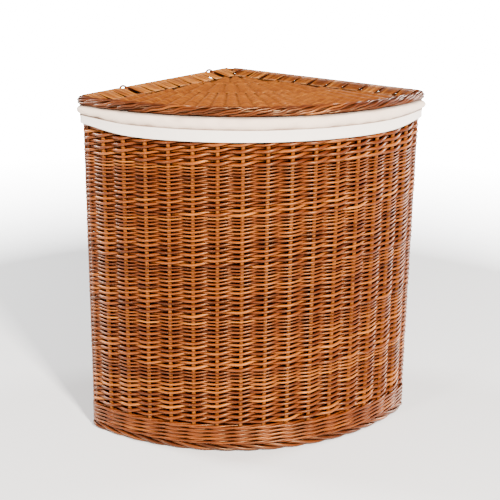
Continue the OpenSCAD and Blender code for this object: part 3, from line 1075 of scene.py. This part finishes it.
# %% Lay a sheet round the plan
def round_sheet(name, profile, steps, seed, ripple, rise=0.0):
    """A closed band of cloth. profile is a list of (out from the wall's face,
    z), ripple how far its folds stand out, in metres, and rise how far the
    lower edge is pulled up at the front corners."""
    draw = np.random.default_rng(seed)
    profile = np.array(profile)
    bpy.ops.object.select_all(action="DESELECT")
    bpy.ops.mesh.primitive_grid_add(
        x_subdivisions=steps, y_subdivisions=len(profile) - 1, size=2)
    piece = bpy.context.object
    piece.name = name
    mesh = piece.data
    co = np.empty(len(mesh.vertices) * 3)
    mesh.vertices.foreach_get("co", co)
    co = co.reshape(-1, 3)
    part = (co[:, 0] + 1) / 2
    line = (co[:, 1] + 1) / 2 * (len(profile) - 1)
    p, n, gone = outline(0)
    total = gone[-1]
    at = part * total
    xy, normal = along_path(at, gone, p), along_path(at, gone, n)
    normal /= np.linalg.norm(normal, axis=-1, keepdims=True)
    rows = np.arange(len(profile))
    out = np.interp(line, rows, profile[:, 0])
    z = np.interp(line, rows, profile[:, 1])
    length = distance_along(profile)
    fold = np.zeros(len(out))
    for _ in range(FOLD_WAVES):
        turns = draw.integers(5, 60)
        fold += draw.uniform(0.3, 1) * np.sin(2 * math.pi * turns * part
            + line * draw.uniform(-0.9, 0.9) + draw.uniform(0, 6.28))
    free = np.sin(np.clip(line / (len(profile) - 1), 0, 1) * math.pi) ** 0.6
    out = out + ripple * fold / 3 * free
    # the lid presses the cloth down at the front corners and the hem rides up
    if rise:
        near = sum(np.exp(-(np.linalg.norm(xy - post, axis=1) / LID_REACH) ** 2)
            for post in (end_post, end_post * [-1, 1]))
        top = TOP + 0.5 * MM
        height_share = (z - HEM_LOW) / (top - HEM_LOW)
        # over the rim the cloth stays on the willow, and only outside it can drop
        outside = np.clip(out / (3 * MM), 0, 1)
        z = z + near * (rise * (1 - height_share) - DROOP * height_share * outside)
    co[:, :2] = xy + normal * out[:, None]
    co[:, 2] = z
    mesh.vertices.foreach_set("co", co.reshape(-1))
    uv = mesh.uv_layers[0]
    idx = np.empty(len(mesh.loops), dtype=int)
    mesh.loops.foreach_get("vertex_index", idx)
    flat = np.stack([part * total, np.interp(line, rows, length)], axis=-1)
    uv.uv.foreach_set("vector", flat[idx].reshape(-1))
    mesh.update()
    bpy.ops.object.mode_set(mode="EDIT")
    bpy.ops.mesh.select_all(action="SELECT")
    bpy.ops.mesh.remove_doubles(threshold=0.00002)
    bpy.ops.mesh.normals_make_consistent(inside=False)
    bpy.ops.object.mode_set(mode="OBJECT")
    bpy.ops.object.shade_smooth()
    print(name, "%.3f m round, %.3f m of cloth from edge to edge" % (total, length[-1]))
    return piece, total, length[-1]


def thicken(piece, thickness, back=0):
    """Gives a sheet its thickness. back is the material step for its back."""
    thick = piece.modifiers.new("cloth", "SOLIDIFY")
    thick.thickness = thickness
    thick.material_offset = back
    thick.offset = -1
    bpy.context.view_layer.objects.active = piece
    bpy.ops.object.modifier_apply(modifier=thick.name)


# %% The cuff over the rim
AROUND_STEPS = 720

cuff_profile = [
    (0.8 * MM, HEM_TOP - 2 * MM), (0.8 * MM, HEM_TOP + 0.6 * MM),
    (2.0 * MM, HEM_TOP + 2.6 * MM), (4.2 * MM, HEM_TOP + 5 * MM),
    (5.5 * MM, HEM_TOP + 8 * MM), (5.7 * MM, HEM_TOP + 11 * MM),
    (5.2 * MM, HEM_TOP + 14 * MM), (3.8 * MM, TOP - 2.2 * MM), (1.6 * MM, TOP - 0.7 * MM),
    (-1.5 * MM, TOP - 0.1 * MM), (-7 * MM, TOP - 0.1 * MM),
    (-12 * MM, TOP - 0.1 * MM), (-BAG_IN - 0.5 * MM, TOP - 0.9 * MM),
    (-BAG_IN - 1.2 * MM, TOP - 3 * MM)]
cuff, cuff_round, cuff_tall = round_sheet(
    "cuff_cloth", cuff_profile, AROUND_STEPS, 3, 2.4 * MM, HEM_RISE)
thicken(cuff, 1.0 * MM)
dress(cuff, white_cotton, "basket", "cotton", "liner_cuff")

# %% The hem below it
hem_profile = [
    (2.2 * MM, HEM_LOW), (2.4 * MM, HEM_LOW + 1 * MM), (2.3 * MM, HEM_LOW + 5 * MM),
    (2.2 * MM, HEM_LOW + 9 * MM), (2.3 * MM, HEM_LOW + 13 * MM),
    (3.0 * MM, HEM_TOP - 1.2 * MM), (2.8 * MM, HEM_TOP), (1.7 * MM, HEM_TOP + 0.6 * MM)]
hem, hem_round, hem_tall = round_sheet(
    "hem_cloth", hem_profile, AROUND_STEPS, 4, 0.2 * MM, HEM_RISE)
thicken(hem, 1.2 * MM)
dress(hem, hem_cotton, "basket", "cotton", "liner_hem")

# %% The bag inside
BAG_ROWS = 40
FLOOR_DEEP = 0.3     # metres of cloth in the bag's floor, from front to back
FLOOR_AREA = 0.115   # its area in square metres

down = np.linspace(TOP - 4 * MM, FLOOR_Z + 6 * MM, BAG_ROWS)
bag_profile = [(-BAG_IN - 0.6 * MM, z) for z in down]
bag_profile += [
    (-BAG_IN - 1.6 * MM, FLOOR_Z + 2.5 * MM), (-BAG_IN - 4 * MM, FLOOR_Z + 1.2 * MM)]
bag, bag_round, bag_tall = round_sheet(
    "bag_cloth", bag_profile, AROUND_STEPS, 5, 1.2 * MM)

# the open edge at the bottom is closed with one flat face
bpy.ops.object.select_all(action="DESELECT")
bag.select_set(True)
bpy.context.view_layer.objects.active = bag
bpy.ops.object.mode_set(mode="EDIT")
bpy.ops.mesh.select_all(action="DESELECT")
bpy.ops.object.mode_set(mode="OBJECT")
for edge in bag.data.edges:
    edge.select = all(
        bag.data.vertices[v].co.z < FLOOR_Z + 1.3 * MM for v in edge.vertices)
bpy.ops.object.mode_set(mode="EDIT")
bpy.ops.mesh.edge_face_add()
bpy.ops.mesh.select_all(action="SELECT")
bpy.ops.mesh.normals_make_consistent(inside=True)
bpy.ops.object.mode_set(mode="OBJECT")
dress(bag, white_cotton, "basket", "cotton", "liner_bag")
# the bag's outer side, against the willow, gets the cotton painted in deep shade
bag.data.materials.append(shade_side_cotton)
thicken(bag, 0.8 * MM, back=1)
round(bag_tall + FLOOR_DEEP, 3)
round(bag_round * bag_tall + FLOOR_AREA, 3)

# %% [markdown]
# ## The frame's own solids
# The stakes, posts, base and hinge loops already have the right shape, so they
# stay and only get their finish.

# %% Finish the solids that stay
KEPT = {
    stake_willow: ["front_stakes", "left_stakes", "right_stakes"],
    post_willow: ["back_post", "left_post", "right_post", "rim_border",
        "hinge_loop_back", "hinge_loop_front"],
    flat_willow: ["base_frame", "base_sticks", "lid_stakes", "lid_by_stakes"],
}
for finish, nodes in KEPT.items():
    for node in nodes:
        mesh = frame["nodes"][node].data
        mesh.materials.clear()
        mesh.materials.append(finish)
print("kept", sum(len(v) for v in KEPT.values()), "solids")
